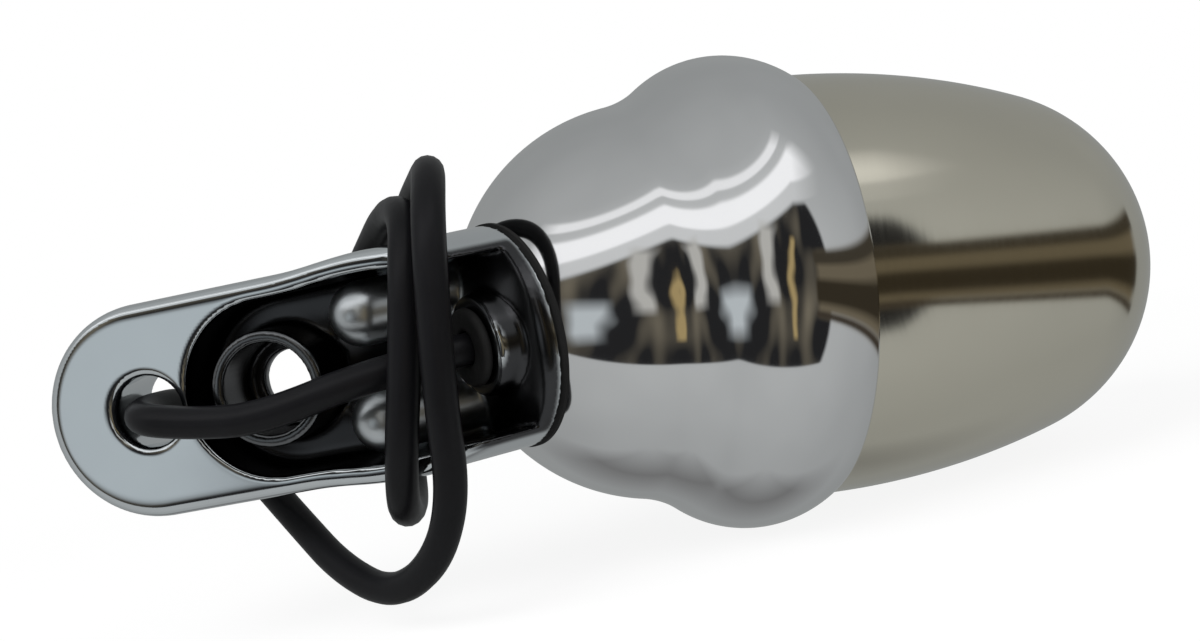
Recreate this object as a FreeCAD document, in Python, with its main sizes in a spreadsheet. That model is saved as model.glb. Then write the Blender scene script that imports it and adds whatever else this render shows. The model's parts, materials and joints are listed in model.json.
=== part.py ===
"""Auxiliary light: a chromed bell and bullet lamp on a cast mounting arm, with its wound lead.

Frame, in millimetres: the mounting face is the plane y = 0 and the light stands on its +Y side.
+X runs along the arm towards the lamp, +Z is up, and the origin is where the bolt's axis meets that face.
"""
import FreeCAD, Part
import math
import os
import Sketcher

doc = FreeCAD.newDocument("auxiliary_light")

SIZES = {
    # the lamp's and the neck's directions, in degrees from +X towards +Y, and the lamp's dip below them
    "lamp_tilt": 26.0,
    "lamp_drop": 6.3,
    "neck_tilt": 41.7,
    # bell housing: a round dome, a cove and a bulging rim, turned about the lamp's axis
    "dome_centre_x": 52.7,
    "dome_centre_y": 33.3,
    "dome_radius": 31.5,
    "bell_wall": 2.0,
    "cove_share": 0.8254,
    "cove_radius": 16.0,
    "cove_angle": 38.0,
    "bulge_radius": 18.0,
    "lip_angle": 34.0,
    "lip_depth": 2.2,
    "shell_land": 0.7,
    "edge_rise": 0.9,
    "seat_depth": 14.5,
    "seat_run": 6.8,
    "seat_step": 4.5,
    # bullet shell: a drawn sheet barrel with a turned-out edge and a nose opening
    "shell_wall": 0.9,
    "shell_straight": 4.0,
    "shell_length": 59.0,
    "nose_share": 0.8772,
    "opening_share": 0.4094,
    "slide_fit": 0.2,
    "shell_seal_width": 1.5,
    "seal_height": 2.2,
    "spacer_height": 1.7,
    # reflector, bulb and holder
    "reflector_wall": 0.8,
    "reflector_edge": 4.9,
    "reflector_depth": 17.0,
    "reflector_curve": 52.0,
    "holder_bore": 7.7,
    "holder_wall": 1.1,
    "holder_length": 9.0,
    "holder_collar": 11.0,
    "collar_width": 1.0,
    "insulator_width": 2.0,
    "contact_radius": 1.5,
    "contact_length": 5.0,
    "strip_radius": 7.4,
    "strip_width": 0.6,
    "cap_fit": 0.15,
    "cap_length": 8.0,
    "glass_radius": 9.0,
    "glass_wall": 0.6,
    "glass_neck": 6.2,
    "filament_wire": 0.35,
    "filament_reach": 7.0,
    "filament_span": 3.0,
    "filament_coil": 0.6,
    "coil_overrun": 0.9,
    # lens in the nose, its seal and its ring
    "lens_lap": 2.5,
    "lens_edge": 2.0,
    "lens_crown": 1.4,
    "lens_seal_width": 0.8,
    "ring_width": 1.6,
    "ring_lap": 1.8,
    # mounting arm: a trough with a round pad end and a neck that ends in a round flange
    "arm_half_width": 16.0,
    "arm_depth": 13.0,
    "arm_wall": 3.0,
    "arm_floor": 2.5,
    "pad_hole_x": -19.0,
    "pad_hole_radius": 5.25,
    "trough_left": -12.5,
    "base_end": 22.0,
    "bolt_boss_radius": 8.6,
    "bolt_bore_radius": 4.6,
    "counterbore_radius": 6.8,
    "flange_flare": 1.0,
    "flange_web": 2.0,
    "neck_length": 46.0,
    "neck_swell": 0.5,
    "screw_share": 0.49375,
    "inset_share": 0.25,
    "boss_share": 0.303125,
    "screw_boss_length": 13.0,
    "cord_share": 0.375,
    "collar_share": 0.475,
    "cord_collar_length": 1.2,
    "cord_hole_radius": 4.6,
    # gasket, backing plate and screws on the neck's axis
    "gasket_thickness": 0.5,
    "gasket_lap": 0.2,
    "seat_fit": 0.05,
    "plate_radius": 14.0,
    "plate_depth": 4.7,
    "screw_radius": 2.0,
    "screw_hole_fit": 0.25,
    "thread_depth": 10.0,
    "head_radius": 3.4,
    "head_length": 2.4,
    "socket_radius": 1.7,
    "socket_depth": 1.4,
    "washer_radius": 3.8,
    "washer_width": 0.8,
    # lead and its grommet
    "cord_radius": 2.4,
    "grommet_fit": 0.05,
    "grommet_flange": 5.8,
    "grommet_flange_width": 1.6,
    "lead_radius": 0.8,
    "lead_spread": 1.3,
    "lead_gap": 0.3,
    "cord_stub": 1.0,
    "cord_reach": 15.0,
}

sheet = doc.addObject("Spreadsheet::Sheet", "Sizes")
for row, (alias, number) in enumerate(SIZES.items(), start=1):
    sheet.set(f"A{row}", alias)
    sheet.set(f"B{row}", str(number))
    sheet.setAlias(f"B{row}", alias)
doc.recompute()


class Cells:
    """Gives the expression that reads a cell, as cell.dome_radius."""

    def __getattr__(self, alias):
        if alias not in SIZES:
            raise AttributeError(alias)
        return f"Sizes.{alias}"


cell = Cells()
parts = []


def value(expression):
    """Present value of an expression, in millimetres or as a plain number."""
    answer = sheet.evalExpression(str(expression))
    return float(getattr(answer, "Value", answer))


# Directions and places shared by several pieces, as expressions
neck_x = f"cos({cell.neck_tilt} * 1deg)"
neck_y = f"sin({cell.neck_tilt} * 1deg)"
lamp_x = f"(cos({cell.lamp_tilt} * 1deg) * cos({cell.lamp_drop} * 1deg))"
lamp_y = f"(sin({cell.lamp_tilt} * 1deg) * cos({cell.lamp_drop} * 1deg))"
lamp_z = f"(-sin({cell.lamp_drop} * 1deg))"
flange_radius = f"({cell.arm_half_width} + {cell.flange_flare})"
neck_root_radius = f"({cell.arm_half_width} + {cell.neck_swell})"
gasket_seat = f"({cell.dome_radius} + {cell.gasket_thickness})"
rim_offset = f"sqrt({gasket_seat}^2 - {flange_radius}^2)"
web_offset = f"({gasket_seat} + {cell.flange_web})"
dome_bore = f"({cell.dome_radius} - {cell.bell_wall})"
plate_face = f"({dome_bore} - {cell.plate_depth})"
cord_end = f"({plate_face} - {cell.cord_stub})"
screw_offset = f"({cell.arm_half_width} * {cell.screw_share})"
screw_boss_radius = f"({cell.arm_half_width} * {cell.boss_share})"
cord_shift = f"({cell.arm_half_width} * {cell.cord_share})"
cord_collar_radius = f"({cell.arm_half_width} * {cell.collar_share})"


def on_neck(offset, shift="0"):
    """Point at a distance from the dome's centre down the neck, and moved to the neck's open side."""
    return (f"{cell.dome_centre_x} - ({offset}) * {neck_x} + ({shift}) * {neck_y}",
            f"{cell.dome_centre_y} - ({offset}) * {neck_y} - ({shift}) * {neck_x}")


def place(piece, x, y, z="0", yaw="0", pitch="0"):
    """Binds a piece's place: turned by pitch about Y, then by yaw about Z, then moved."""
    piece.setExpression("Placement", f"placement(vector({x}; {y}; {z}); rotation({yaw}; {pitch}; 0))")
    return piece


def primitive(kind, name, **sizes):
    piece = doc.addObject(f"Part::{kind}", name)
    for size, expression in sizes.items():
        piece.setExpression(size, str(expression))
    return piece


def neck_rod(name, radius, start, end, z="0", shift="0"):
    """Rod along the neck, between two distances from the dome's centre, start nearer the arm."""
    rod = primitive("Cylinder", name, Radius=radius, Height=f"({start}) - ({end})")
    x, y = on_neck(start, shift)
    return place(rod, x, y, z, cell.neck_tilt, "90")


def face_rod(name, radius, x, start, end):
    """Rod square to the mounting face, between two values of y."""
    rod = primitive("Cylinder", name, Radius=radius, Height=f"({end}) - ({start})")
    rod.setExpression("Placement", f"placement(vector({x}; {start}; 0); rotation(0; 0; -90))")
    return rod


def dome_ball(name, radius):
    ball = primitive("Sphere", name, Radius=radius)
    return place(ball, cell.dome_centre_x, cell.dome_centre_y)


def boolean(kind, name, first, second):
    piece = doc.addObject(f"Part::{kind}", name)
    piece.Base = first
    piece.Tool = second
    return piece


def fuse(name, pieces):
    piece = doc.addObject("Part::MultiFuse", name)
    piece.Shapes = pieces
    return piece


def cut(name, base, tools):
    tool = tools[0] if len(tools) == 1 else fuse(f"{name}_tools", tools)
    return boolean("Cut", name, base, tool)


def finish(piece, label):
    piece.Label = label
    parts.append(piece)
    return piece


def draw(sketch, corners):
    """Closed outline. A corner is (x, y), or (x, y, radius) where an arc leaves it.

    A positive radius turns left along the outline, and a negative one turns right.
    """
    count = len(corners)
    spots = [FreeCAD.Vector(value(corner[0]), value(corner[1]), 0) for corner in corners]
    ends = []
    for index, corner in enumerate(corners):
        here, there = spots[index], spots[(index + 1) % count]
        if len(corner) == 2:
            edge = sketch.addGeometry(Part.LineSegment(here, there), False)
            ends.append((edge, 1, 2))
            continue
        radius = value(corner[2])
        chord = there - here
        left = FreeCAD.Vector(-chord.y, chord.x, 0).normalize()
        rise = math.sqrt(radius ** 2 - (chord.Length / 2) ** 2)
        middle = (here + there) * 0.5 + left * math.copysign(rise, radius)
        first, last = (here, there) if radius > 0 else (there, here)
        start = math.atan2(first.y - middle.y, first.x - middle.x)
        stop = math.atan2(last.y - middle.y, last.x - middle.x)
        circle = Part.Circle(middle, FreeCAD.Vector(0, 0, 1), abs(radius))
        edge = sketch.addGeometry(Part.ArcOfCircle(circle, start, stop), False)
        ends.append((edge, 1, 2) if radius > 0 else (edge, 2, 1))
    for index, (edge, _, tail) in enumerate(ends):
        other, head, _ = ends[(index + 1) % count]
        sketch.addConstraint(Sketcher.Constraint("Coincident", edge, tail, other, head))
    for corner, (edge, head, _) in zip(corners, ends):
        for axis, kind, expression in ((-2, "DistanceX", corner[0]), (-1, "DistanceY", corner[1])):
            if str(expression) == "0":
                sketch.addConstraint(Sketcher.Constraint("PointOnObject", edge, head, axis))
                continue
            number = sketch.addConstraint(Sketcher.Constraint(kind, edge, head, value(expression)))
            sketch.setExpression(f"Constraints[{number}]", str(expression))
        if len(corner) == 3:
            number = sketch.addConstraint(Sketcher.Constraint("Radius", edge, abs(value(corner[2]))))
            sketch.setExpression(f"Constraints[{number}]", f"abs({corner[2]})")


def origin_plane(body, role):
    return next(plane for plane in body.Origin.OriginFeatures if plane.Role == role)


def turned(label, corners):
    """Piece turned about the lamp's axis. Its outline is in distance from the bell's apex and radius."""
    body = doc.addObject("PartDesign::Body", label)
    sketch = body.newObject("Sketcher::SketchObject", f"{label}_profile")
    sketch.AttachmentSupport = [(origin_plane(body, "XY_Plane"), "")]
    sketch.MapMode = "FlatFace"
    draw(sketch, corners)
    turn = body.newObject("PartDesign::Revolution", f"{label}_turn")
    turn.Profile = sketch
    turn.ReferenceAxis = (sketch, ["H_Axis"])
    turn.Angle = 360
    body.Tip = turn
    return place(body, f"{cell.dome_centre_x} - {cell.dome_radius} * {lamp_x}",
                 f"{cell.dome_centre_y} - {cell.dome_radius} * {lamp_y}",
                 f"-{cell.dome_radius} * {lamp_z}", cell.lamp_tilt, cell.lamp_drop)


# Bell housing
cove_start = f"({cell.dome_radius} * {cell.cove_share})"
cove_r = f"sqrt({cell.dome_radius}^2 - ({cell.dome_radius} - {cove_start})^2)"
cove_sin = f"(({cell.dome_radius} - {cove_start}) / {cell.dome_radius})"
cove_cos = f"({cove_r} / {cell.dome_radius})"
flare_sin = f"sin({cell.cove_angle} * 1deg)"
flare_cos = f"cos({cell.cove_angle} * 1deg)"
flare_s = f"({cove_start} + {cell.cove_radius} * ({flare_sin} - {cove_sin}))"
flare_r = f"({cove_r} + {cell.cove_radius} * ({cove_cos} - {flare_cos}))"
bulge_s = f"({flare_s} + {cell.bulge_radius} * {flare_sin})"
bulge_r = f"({flare_r} - {cell.bulge_radius} * {flare_cos})"
lip_s = f"({bulge_s} + {cell.bulge_radius} * sin({cell.lip_angle} * 1deg))"
lip_r = f"({bulge_r} + {cell.bulge_radius} * cos({cell.lip_angle} * 1deg))"
shell_radius = f"({lip_r} - {cell.shell_land})"
lip_bore = f"({shell_radius} + {cell.slide_fit})"
rim_bore = f"({shell_radius} + {cell.edge_rise})"
lip_face = f"({lip_s} - {cell.lip_depth})"
seat_s = f"({lip_face} - {cell.seat_depth})"
seat_back = f"({seat_s} - {cell.seat_run})"
bell_turned = turned("bell_turned", [
    ("0", "0", f"-{cell.dome_radius}"),
    (cove_start, cove_r, cell.cove_radius),
    (flare_s, flare_r, f"-{cell.bulge_radius}"),
    (lip_s, lip_r),
    (lip_s, lip_bore),
    (lip_face, lip_bore),
    (lip_face, rim_bore),
    (seat_s, rim_bore),
    (seat_back, f"{rim_bore} - {cell.seat_step}"),
    (cove_start, f"sqrt({dome_bore}^2 - ({cell.dome_radius} - {cove_start})^2)", dome_bore),
    (cell.bell_wall, "0"),
])

screw_sides = (("upper", screw_offset), ("lower", f"-{screw_offset}"))
screw_shift = f"-({cell.arm_half_width} * {cell.inset_share})"
screw_hole = f"({cell.screw_radius} + {cell.screw_hole_fit})"
far_side = f"({web_offset} + {cell.screw_boss_length} + {cell.arm_half_width})"


def neck_holes(name, start, end):
    """Cutters for the cord and the two screws, along the neck."""
    cutters = [neck_rod(f"{name}_cord_way", cell.cord_hole_radius, start, end, shift=cord_shift)]
    for side, z in screw_sides:
        cutters.append(neck_rod(f"{name}_{side}_way", screw_hole, start, end, z, screw_shift))
    return cutters


bell_ways = neck_holes("bell", gasket_seat, plate_face)
finish(cut("bell_cut", bell_turned, bell_ways), "bell_housing")

# Gasket between the flange and the dome
gasket_skin = boolean("Cut", "gasket_skin", dome_ball("gasket_ball", gasket_seat),
                      dome_ball("gasket_core", cell.dome_radius))
gasket_radius = f"({flange_radius} + {cell.gasket_lap})"
gasket_rod = neck_rod("gasket_rod", gasket_radius, web_offset, f"{plate_face} / 2")
gasket_disc = boolean("Common", "gasket_disc", gasket_skin, gasket_rod)
finish(cut("gasket_cut", gasket_disc, neck_holes("gasket", web_offset, plate_face)), "arm_gasket")

# Backing plate in the dome, with its screws and lock washers
plate_disc = boolean("Common", "plate_disc", dome_ball("plate_ball", dome_bore),
                     neck_rod("plate_rod", cell.plate_radius, web_offset, plate_face))
plate_ways = neck_holes("plate", web_offset, f"{plate_face} - 1")
finish(cut("plate_cut", plate_disc, plate_ways), "backing_plate")
head_seat = f"({plate_face} - {cell.washer_width})"
head_face = f"({head_seat} - {cell.head_length})"
thread_end = f"({web_offset} + {cell.thread_depth})"
screw_tip = f"({thread_end} - 1)"
screws = []
washers = []
for side, z in screw_sides:
    shank = neck_rod(f"{side}_shank", cell.screw_radius, screw_tip, head_seat, z, screw_shift)
    head = neck_rod(f"{side}_head", cell.head_radius, head_seat, head_face, z, screw_shift)
    socket = neck_rod(f"{side}_socket", cell.socket_radius, f"{head_face} + {cell.socket_depth}", head_face,
                      z, screw_shift)
    screws.append(cut(f"{side}_screw", fuse(f"{side}_blank", [shank, head]), [socket]))
    washer = neck_rod(f"{side}_washer_disc", cell.washer_radius, plate_face, head_seat, z, screw_shift)
    hole = neck_rod(f"{side}_washer_hole", screw_hole, plate_face, head_seat, z, screw_shift)
    washers.append(cut(f"{side}_washer", washer, [hole]))


def group(label, pieces):
    compound = doc.addObject("Part::Compound", label)
    compound.Links = pieces
    return finish(compound, label)


group("arm_screws", screws)
group("arm_lock_washers", washers)

# Mounting arm
pad_end = face_rod("pad_end", cell.arm_half_width, cell.pad_hole_x, "0", cell.arm_depth)
base_block = primitive("Box", "base_block", Length=f"{cell.base_end} - {cell.pad_hole_x}",
                       Width=cell.arm_depth, Height=f"2 * {cell.arm_half_width}")
place(base_block, cell.pad_hole_x, "0", f"-{cell.arm_half_width}")
neck = primitive("Cone", "neck", Radius1=neck_root_radius, Radius2=flange_radius, Height=cell.neck_length)
neck_start = f"({rim_offset} + {cell.neck_length})"
place(neck, *on_neck(neck_start), yaw=cell.neck_tilt, pitch="90")
arm_solid = fuse("arm_solid", [pad_end, base_block, neck])

trough_half = f"({cell.arm_half_width} - {cell.arm_wall})"
trough_start = f"({cell.trough_left} + {trough_half})"
trough_floor = f"({cell.arm_depth} - {cell.arm_floor})"
trough_end = face_rod("trough_end", trough_half, trough_start, "-1", trough_floor)
trough_block = primitive("Box", "trough_block", Length=f"{cell.base_end} - {trough_start}",
                         Width=f"{trough_floor} + 1", Height=f"2 * {trough_half}")
place(trough_block, trough_start, "-1", f"-{trough_half}")
neck_core = primitive("Cone", "neck_core", Radius1=f"{neck_root_radius} - {cell.arm_wall}",
                      Radius2=f"{flange_radius} - {cell.arm_wall}", Height=cell.neck_length)
place(neck_core, *on_neck(neck_start), yaw=cell.neck_tilt, pitch="90")
slot_reach = f"(2 * {flange_radius})"
neck_slot = primitive("Box", "neck_slot", Length=cell.neck_length, Width=slot_reach,
                      Height=f"2 * {trough_half}")
place(neck_slot, *on_neck(neck_start, slot_reach), f"-{trough_half}", cell.neck_tilt)
trough = fuse("trough", [trough_end, trough_block, neck_core, neck_slot])
trough_open = cut("trough_open", trough, [dome_ball("web_ball", web_offset)])
arm_shell = cut("arm_shell", arm_solid, [trough_open])

bolt_boss = face_rod("bolt_boss", cell.bolt_boss_radius, "0", "0", cell.arm_depth)
collar_face = f"({web_offset} + {cell.cord_collar_length})"
cord_collar = neck_rod("cord_collar", cord_collar_radius, collar_face, plate_face, shift=cord_shift)
arm_bossed = fuse("arm_bossed", [arm_shell, bolt_boss, cord_collar])

front = primitive("Box", "mounting_space", Length=f"4 * {far_side}", Width=far_side,
                  Height=f"2 * {far_side}")
place(front, f"-2 * {far_side}", f"-{far_side}", f"-{far_side}")
flange_seat = dome_ball("flange_seat", f"({gasket_seat} + {cell.seat_fit})")
threads = []
for side, z in screw_sides:
    threads.append(neck_rod(f"arm_{side}_thread", f"({cell.screw_radius} + {cell.grommet_fit})", thread_end,
                            plate_face, z, screw_shift))
cutters = [flange_seat,
           face_rod("pad_hole", cell.pad_hole_radius, cell.pad_hole_x, "-1", f"{cell.arm_depth} + 1"),
           face_rod("bolt_bore", cell.bolt_bore_radius, "0", "-1", f"2 * {cell.arm_depth}"),
           face_rod("counterbore", cell.counterbore_radius, "0", "-1", trough_floor),
           neck_rod("arm_cord_way", cell.cord_hole_radius, collar_face, plate_face, shift=cord_shift),
           front]
finish(cut("arm_cut", arm_bossed, cutters + threads), "mount_arm")

# Tapped posts on the flange's web, cast with the arm
posts = []
for (side, z), thread in zip(screw_sides, threads):
    nose_offset = f"({web_offset} + {cell.screw_boss_length})"
    post = neck_rod(f"{side}_post_rod", screw_boss_radius, nose_offset, plate_face, z, screw_shift)
    nose = primitive("Sphere", f"{side}_nose", Radius=screw_boss_radius)
    place(nose, *on_neck(nose_offset, screw_shift), z)
    posts.append(cut(f"{side}_post", fuse(f"{side}_post_blank", [post, nose]),
                     [dome_ball(f"{side}_web_ball", web_offset), thread, front]))
group("screw_posts", posts)

# Grommet where the lead comes out of the flange
grommet_bore = f"({cell.cord_radius} + {cell.grommet_fit})"
grommet_face = f"({collar_face} + {cell.grommet_flange_width})"
grommet_outside = f"({cell.cord_hole_radius} - {cell.grommet_fit})"
grommet_sleeve = neck_rod("grommet_sleeve", grommet_outside, collar_face, plate_face, shift=cord_shift)
grommet_flange = neck_rod("grommet_lip", cell.grommet_flange, grommet_face, collar_face, shift=cord_shift)
grommet_way = neck_rod("grommet_way", grommet_bore, grommet_face, plate_face, shift=cord_shift)
finish(cut("grommet_cut", fuse("grommet_blank", [grommet_sleeve, grommet_flange]),
           [grommet_way, dome_ball("grommet_seat", gasket_seat)]), "cord_grommet")

# Bullet shell, held by its turned-out edge behind the bell's lip
shell_base = f"({lip_face} - {cell.shell_wall})"
nose_radius = f"({shell_radius} * {cell.nose_share})"
nose_opening = f"({shell_radius} * {cell.opening_share})"
side_radius = (f"((({cell.shell_length} - {nose_radius})^2 + {shell_radius}^2 - {nose_radius}^2)"
               f" / (2 * ({shell_radius} - {nose_radius})))")
blend_share = f"({side_radius} / ({side_radius} - {nose_radius}))"
side_share = f"(({side_radius} - {cell.shell_wall}) / ({side_radius} - {nose_radius}))"
barrel_s = f"({lip_s} + {cell.shell_straight})"
nose_centre = f"({barrel_s} + {cell.shell_length} - {nose_radius})"
nose_bore = f"({nose_radius} - {cell.shell_wall})"
drop = f"({side_radius} - {shell_radius})"
opening_s = f"({nose_centre} + sqrt({nose_radius}^2 - {nose_opening}^2))"
opening_in = f"({nose_centre} + sqrt({nose_bore}^2 - {nose_opening}^2))"
flange_edge = f"({rim_bore} - {cell.slide_fit})"
finish(turned("bullet_shell", [
    (shell_base, flange_edge),
    (lip_face, flange_edge),
    (lip_face, shell_radius),
    (barrel_s, shell_radius, f"-{side_radius}"),
    (f"({barrel_s} + ({nose_centre} - {barrel_s}) * {blend_share})", f"({drop} * ({blend_share} - 1))",
     f"-{nose_radius}"),
    (opening_s, nose_opening),
    (opening_in, nose_opening, nose_bore),
    (f"({barrel_s} + ({nose_centre} - {barrel_s}) * {side_share})", f"({drop} * ({side_share} - 1))",
     f"({side_radius} - {cell.shell_wall})"),
    (barrel_s, f"({shell_radius} - {cell.shell_wall})"),
    (shell_base, f"({shell_radius} - {cell.shell_wall})"),
]), "bullet_shell")


def ring(label, start, end, bore, radius):
    """Plain ring about the lamp's axis."""
    return finish(turned(label, [(start, bore), (end, bore), (end, radius), (start, radius)]), label)


def disc(label, start, end, radius):
    """Plain disc about the lamp's axis."""
    return finish(turned(label, [(start, "0"), (end, "0"), (end, radius), (start, radius)]), label)


seal_s = f"({shell_base} - {cell.shell_seal_width})"
ring("shell_seal", seal_s, shell_base, f"({flange_edge} - {cell.seal_height})", flange_edge)
flange_s = f"({seat_s} + {cell.reflector_wall})"
ring("spacer_ring", flange_s, seal_s, f"({flange_edge} - {cell.spacer_height})", flange_edge)

# Reflector: a dish with a flat edge that sits on the bell's seat
holder_radius = f"({cell.holder_bore} + {cell.holder_wall})"
reflector_mouth = f"({flange_edge} - {cell.reflector_edge})"
neck_s = f"({seat_s} - {cell.reflector_depth})"
neck_r = f"({holder_radius} + {cell.slide_fit})"
finish(turned("reflector", [
    (neck_s, neck_r),
    (f"({neck_s} + {cell.reflector_wall})", neck_r, f"-{cell.reflector_curve}"),
    (flange_s, reflector_mouth),
    (flange_s, flange_edge),
    (seat_s, flange_edge),
    (seat_s, f"({reflector_mouth} + {cell.reflector_wall})", cell.reflector_curve),
    (neck_s, f"({neck_r} + {cell.reflector_wall} * 2)"),
]), "reflector")

# Bulb holder behind the dish, with the contact on its insulator
holder_back = f"({neck_s} + {cell.reflector_wall} + 1 - {cell.holder_length})"
collar_s = f"({neck_s} - {cell.collar_width})"
finish(turned("bulb_holder", [
    (holder_back, cell.holder_bore),
    (f"({holder_back} + {cell.holder_length})", cell.holder_bore),
    (f"({holder_back} + {cell.holder_length})", holder_radius),
    (neck_s, holder_radius),
    (neck_s, cell.holder_collar),
    (collar_s, cell.holder_collar),
    (collar_s, holder_radius),
    (holder_back, holder_radius),
]), "bulb_holder")
insulator_front = f"({holder_back} + {cell.insulator_width})"
ring("socket_insulator", holder_back, insulator_front, cell.contact_radius, cell.holder_bore)
contact_front = f"({holder_back} + {cell.contact_length})"
disc("contact_pin", holder_back, contact_front, cell.contact_radius)
disc("contact_strip", f"({holder_back} - {cell.strip_width})", holder_back, cell.strip_radius)

# Bulb: cap, glass and filament
cap_radius = f"({cell.holder_bore} - {cell.cap_fit})"
cap_front = f"({contact_front} + {cell.cap_length})"
glass_bore = f"({cell.glass_neck} - {cell.glass_wall})"
disc("bulb_cap", contact_front, cap_front, cap_radius)
glass_in = f"({cell.glass_radius} - {cell.glass_wall})"
glass_centre = f"({cap_front} + sqrt({cell.glass_radius}^2 - {cell.glass_neck}^2))"
finish(turned("bulb_glass", [
    (cap_front, glass_bore),
    (f"({glass_centre} - sqrt({glass_in}^2 - {glass_bore}^2))", glass_bore, f"-{glass_in}"),
    (glass_centre, glass_in, f"-{glass_in}"),
    (f"({glass_centre} + {glass_in})", "0"),
    (f"({glass_centre} + {cell.glass_radius})", "0", cell.glass_radius),
    (glass_centre, cell.glass_radius, cell.glass_radius),
    (cap_front, cell.glass_neck),
]), "bulb_glass")


def lamp_point(s, rise="0"):
    """Point at a distance from the bell's apex along the lamp's axis, and that far above the axis."""
    reach = f"(({s}) - {cell.dome_radius})"
    lean = f"(({rise}) * sin({cell.lamp_drop} * 1deg))"
    return (f"{cell.dome_centre_x} + {reach} * {lamp_x} + {lean} * cos({cell.lamp_tilt} * 1deg)",
            f"{cell.dome_centre_y} + {reach} * {lamp_y} + {lean} * sin({cell.lamp_tilt} * 1deg)",
            f"{reach} * {lamp_z} + ({rise}) * cos({cell.lamp_drop} * 1deg)")


filament_front = f"({cap_front} + {cell.filament_reach})"
posts = []
for name, rise in (("upper_post", cell.filament_span), ("lower_post", f"-{cell.filament_span}")):
    post = primitive("Cylinder", name, Radius=cell.filament_wire,
                     Height=cell.filament_reach)
    posts.append(place(post, *lamp_point(cap_front, rise), cell.lamp_tilt, f"90 + {cell.lamp_drop}"))
coil_half = f"({cell.filament_span} + {cell.coil_overrun})"
coil = primitive("Cylinder", "filament_coil", Radius=cell.filament_coil, Height=f"2 * {coil_half}")
place(coil, *lamp_point(filament_front, f"-{coil_half}"), cell.lamp_tilt, cell.lamp_drop)
finish(fuse("filament_joined", posts + [coil]), "bulb_filament")

# Lens in the nose opening, pressed forward by a ring
lens_radius = f"({nose_opening} + {cell.lens_lap})"
lens_seat = f"({nose_centre} + sqrt({nose_bore}^2 - {lens_radius}^2))"
lens_face = f"({lens_seat} - {cell.lens_seal_width})"
lens_back = f"({lens_face} - {cell.lens_edge})"
crown_radius = f"({nose_opening} - {cell.slide_fit})"
crown_s = f"({opening_s} + {cell.lens_crown})"
crown_curve = f"(({crown_radius}^2 + {cell.lens_crown}^2) / (2 * {cell.lens_crown}))"
finish(turned("lens", [
    (lens_back, "0"),
    (crown_s, "0", crown_curve),
    (opening_s, crown_radius),
    (lens_face, crown_radius),
    (lens_face, lens_radius),
    (lens_back, lens_radius),
]), "lens")
ring("lens_seal", lens_face, lens_seat, f"({nose_opening} + {cell.slide_fit})",
     f"({lens_radius} - {cell.slide_fit})")
ring_back = f"({lens_back} - {cell.ring_width})"
ring("lens_ring", ring_back, lens_back, f"({lens_radius} - {cell.ring_lap})",
     f"sqrt({nose_bore}^2 - ({lens_back} - {nose_centre})^2) - {cell.slide_fit}")

# Inner leads from the cut end of the cord to the contact strip
strip_back = f"({holder_back} - {cell.strip_width})"


def spot(x, y, z="0"):
    return FreeCAD.Vector(value(x), value(y), value(z))


def tube(points, radius, roundness=0.45):
    """Round tube along straight runs joined by tangent arcs. Returns the solid, its length and radii."""
    edges = []
    radii = []
    start = points[0]
    for before, corner, after in zip(points, points[1:], points[2:]):
        arriving = (corner - before).normalize()
        leaving = (after - corner).normalize()
        turn = arriving.getAngle(leaving)
        reach = roundness * min((corner - before).Length, (after - corner).Length)
        radii.append(reach / math.tan(turn / 2))
        first = corner - arriving * reach
        last = corner + leaving * reach
        inward = (leaving - arriving).normalize()
        middle = corner + inward * (radii[-1] / math.cos(turn / 2) - radii[-1])
        edges.append(Part.LineSegment(start, first).toShape())
        edges.append(Part.Arc(first, middle, last).toShape())
        start = last
    edges.append(Part.LineSegment(start, points[-1]).toShape())
    path = Part.Wire(edges)
    section = Part.Wire([Part.Circle(points[0], points[1] - points[0], radius).toShape()])
    solid = path.makePipeShell([section], True, False)
    ratio = solid.Volume / (math.pi * radius ** 2 * path.Length)
    if abs(ratio - 1) > 0.01:
        raise RuntimeError(f"tube volume is {ratio:.3f} of its section times its length")
    return solid, path.Length, radii


lead_radius = value(cell.lead_radius)
lead_stand = lead_radius + value(cell.lead_gap)
cord_stop = spot(*on_neck(cord_end, cord_shift))
strip_middle = spot(*lamp_point(strip_back))
lamp_axis = FreeCAD.Vector(value(lamp_x), value(lamp_y), value(lamp_z))
cord_offset = cord_stop - strip_middle
cord_offset = cord_offset - lamp_axis * cord_offset.dot(lamp_axis)
solder_spot = strip_middle + cord_offset.normalize() * (value(cell.strip_radius) - 2 * lead_radius)
neck_axis = FreeCAD.Vector(value(neck_x), value(neck_y), 0)
lead_start = cord_stop + neck_axis * lead_stand
lead_run = solder_spot - lamp_axis * lead_stand - lead_start
lead_solids = []
for spread in (value(cell.lead_spread), -value(cell.lead_spread)):
    aside = FreeCAD.Vector(0, 0, spread)
    lead_solids.append(Part.makeCylinder(lead_radius, lead_run.Length, lead_start + aside, lead_run))
inner_leads = doc.addObject("Part::Feature", "inner_leads")
inner_leads.Shape = Part.makeCompound(lead_solids)
finish(inner_leads, "inner_leads")

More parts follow.
